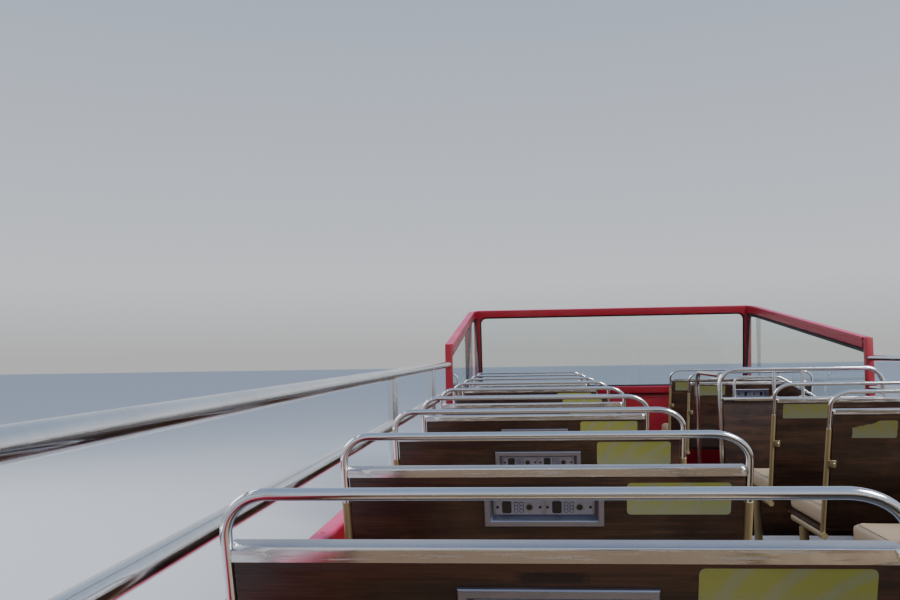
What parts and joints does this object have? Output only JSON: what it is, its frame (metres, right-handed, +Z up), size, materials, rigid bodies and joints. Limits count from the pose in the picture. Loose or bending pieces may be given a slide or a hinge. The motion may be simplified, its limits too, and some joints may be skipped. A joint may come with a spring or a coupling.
{
  "type": "open upper deck of a double decker bus",
  "caption": "Open upper deck of a sightseeing double decker bus: red side panels with polished rails, windscreen and falling side wings, twin seats with grab hoops, stairwell guard and rear bench.",
  "frame": {"origin": "under the middle of the deck, level with the underside of the floor bearers", "axes": "+Y forward to the windscreen, +X to the offside (right-hand side of travel), +Z up"},
  "size_m": [2.55, 9.1, 1.5555],
  "materials": {
    "body_red": "gloss",
    "polished_stainless": "polished",
    "worn_stainless": "worn brushed",
    "tan_paint": "satin",
    "dark_wood": "lacquered, scuffed",
    "tan_vinyl": "satin",
    "satin_aluminium": "satin",
    "grey_floor": "matt",
    "underframe": "matt",
    "glass": "clear",
    "black_rubber": "matt"
  },
  "bodies": {
    "root": {"bench_back_board": "dark_wood", "bench_back_pad": "tan_vinyl", "bench_capping": "worn_stainless", "bench_cushion": "tan_vinyl", "bench_pan": "dark_wood", "bench_supports": "tan_paint", "body_capping_ends": "body_red", "body_capping_sides": "body_red", "body_panel_front": "body_red", "body_panel_left": "body_red", "body_panel_rear": "body_red", "body_panel_right": "body_red", "deck_floor_front": "grey_floor", "deck_floor_middle": "grey_floor", "deck_floor_rear": "grey_floor", "floor_bearers": "underframe", "lower_rail_rear": "polished_stainless", "lower_rail_sides": "polished_stainless", "rail_posts": "polished_stainless", "seat_aisle_legs": "tan_paint", "seat_audio_plates": "satin_aluminium", "seat_audio_trays": "satin_aluminium", "seat_back_boards": "dark_wood", "seat_back_cappings": "worn_stainless", "seat_back_pads": "tan_vinyl", "seat_base_frames": "tan_paint", "seat_cushions": "tan_vinyl", "seat_foot_plates": "tan_paint", "seat_hoops": "polished_stainless", "seat_pans": "dark_wood", "seat_uprights": "tan_paint", "seat_wall_brackets": "tan_paint", "stair_guard_board": "dark_wood", "stair_guard_capping": "worn_stainless", "stair_guard_posts": "polished_stainless", "stair_guard_rear_rail": "polished_stainless", "stair_guard_side_rail": "polished_stainless", "upper_rail_rear": "polished_stainless", "upper_rail_sides": "polished_stainless", "windscreen_frame": "body_red", "windscreen_gasket": "black_rubber", "windscreen_glass": "glass", "wing_beams": "body_red", "wing_gaskets": "black_rubber", "wing_glasses": "glass", "wing_posts": "body_red"}
  },
  "joints": []
}
